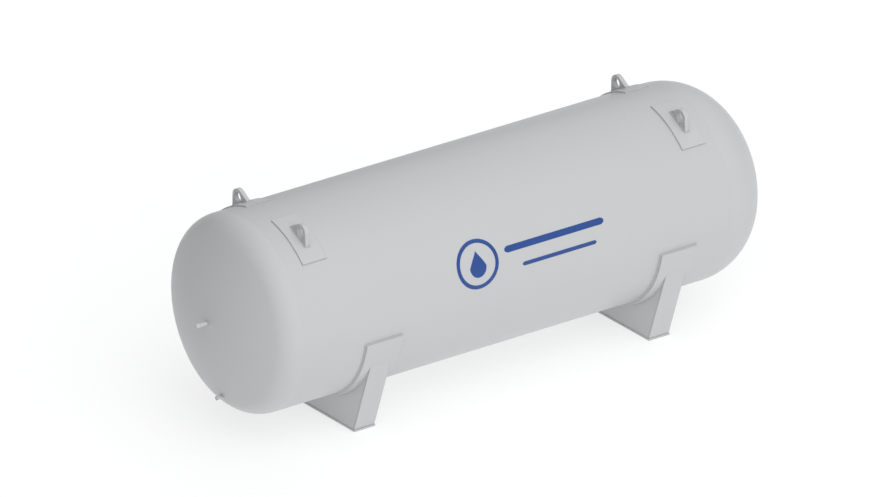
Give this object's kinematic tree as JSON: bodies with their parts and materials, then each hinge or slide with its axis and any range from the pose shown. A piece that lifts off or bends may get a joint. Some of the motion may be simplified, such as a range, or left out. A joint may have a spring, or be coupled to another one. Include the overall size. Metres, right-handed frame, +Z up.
{
  "type": "horizontal cryogenic storage tank",
  "caption": "Horizontal vacuum-jacketed liquid nitrogen tank with dished ends, box saddles, lifting lugs on pads and two pipe stubs.",
  "frame": {"origin": "on the floor, midway between the two ends and under the tank axis, so midway between the saddles", "axes": "+X along the tank from the piping head to the plain head, +Y to the left when facing along +X, +Z up"},
  "size_m": [3.954, 1.2126, 1.3703],
  "materials": {
    "jacket_paint": "light grey satin two-pack paint over welded steel",
    "fitting_paint": "light grey satin paint, slightly worn",
    "plain_steel": "machined or rolled steel",
    "stainless": "pickled stainless steel",
    "insulation_foil": "aluminised multilayer film",
    "fibreglass": "glass-fibre epoxy laminate",
    "rubber": "moulded seal rubber"
  },
  "bodies": {
    "tank": {"adsorbent_canister": "plain_steel", "gas_line": "stainless", "gas_stub_pipe": "stainless", "insulation_front_blanket": "insulation_foil", "insulation_rear_blanket": "insulation_foil", "insulation_wrap": "insulation_foil", "jacket_front_head": "jacket_paint", "jacket_rear_head": "jacket_paint", "jacket_shell": "jacket_paint", "jacket_stiffening_ring_1": "plain_steel", "jacket_stiffening_ring_2": "plain_steel", "lifting_lug_front_left": "jacket_paint", "lifting_lug_front_right": "jacket_paint", "lifting_lug_rear_left": "jacket_paint", "lifting_lug_rear_right": "jacket_paint", "liquid_line": "stainless", "liquid_stub_pipe": "stainless", "lug_pad_front_left": "jacket_paint", "lug_pad_front_right": "jacket_paint", "lug_pad_rear_left": "jacket_paint", "lug_pad_rear_right": "jacket_paint", "relief_guide_post_1": "plain_steel", "relief_guide_post_2": "plain_steel", "relief_guide_post_3": "plain_steel", "relief_neck": "fitting_paint", "relief_nut_1": "plain_steel", "relief_nut_2": "plain_steel", "relief_nut_3": "plain_steel", "relief_seal": "rubber", "relief_stop_ring": "fitting_paint", "saddle_base_plate_front": "jacket_paint", "saddle_base_plate_rear": "jacket_paint", "saddle_front_web_front": "jacket_paint", "saddle_front_web_rear": "jacket_paint", "saddle_rear_web_front": "jacket_paint", "saddle_rear_web_rear": "jacket_paint", "saddle_side_plate_front_left": "jacket_paint", "saddle_side_plate_front_right": "jacket_paint", "saddle_side_plate_rear_left": "jacket_paint", "saddle_side_plate_rear_right": "jacket_paint", "saddle_wear_plate_front": "jacket_paint", "saddle_wear_plate_rear": "jacket_paint", "support_post_front_1": "fibreglass", "support_post_front_2": "fibreglass", "support_post_front_3": "fibreglass", "support_post_front_4": "fibreglass", "support_post_rear_1": "fibreglass", "support_post_rear_2": "fibreglass", "support_post_rear_3": "fibreglass", "support_post_rear_4": "fibreglass", "vacuum_port_body": "stainless", "vessel_front_head": "stainless", "vessel_rear_head": "stainless", "vessel_shell": "stainless"},
    "relief_plate": {"relief_plate": "stainless"},
    "vacuum_cap": {"vacuum_port_cap": "fitting_paint"},
    "vacuum_plug": {"vacuum_port_plug": "plain_steel", "vacuum_port_seal": "rubber"},
    "gas_plug": {"gas_stub_plug": "fitting_paint"},
    "liquid_plug": {"liquid_stub_plug": "fitting_paint"}
  },
  "joints": [
    {"name": "relief_lift", "type": "slide", "parent": "tank", "child": "relief_plate", "axis": [1, 0, 0], "range_m": [0, 0.018]},
    {"name": "vacuum_cap_pull", "type": "slide", "parent": "tank", "child": "vacuum_cap", "axis": [1, 0, 0], "range_m": [0, 0.025]},
    {"name": "vacuum_plug_pull", "type": "slide", "parent": "tank", "child": "vacuum_plug", "axis": [1, 0, 0], "range_m": [0, 0.02]},
    {"name": "gas_plug_pull", "type": "slide", "parent": "tank", "child": "gas_plug", "axis": [-1, 0, 0], "range_m": [0, 0.025]},
    {"name": "liquid_plug_pull", "type": "slide", "parent": "tank", "child": "liquid_plug", "axis": [-1, 0, 0], "range_m": [0, 0.025]}
  ]
}
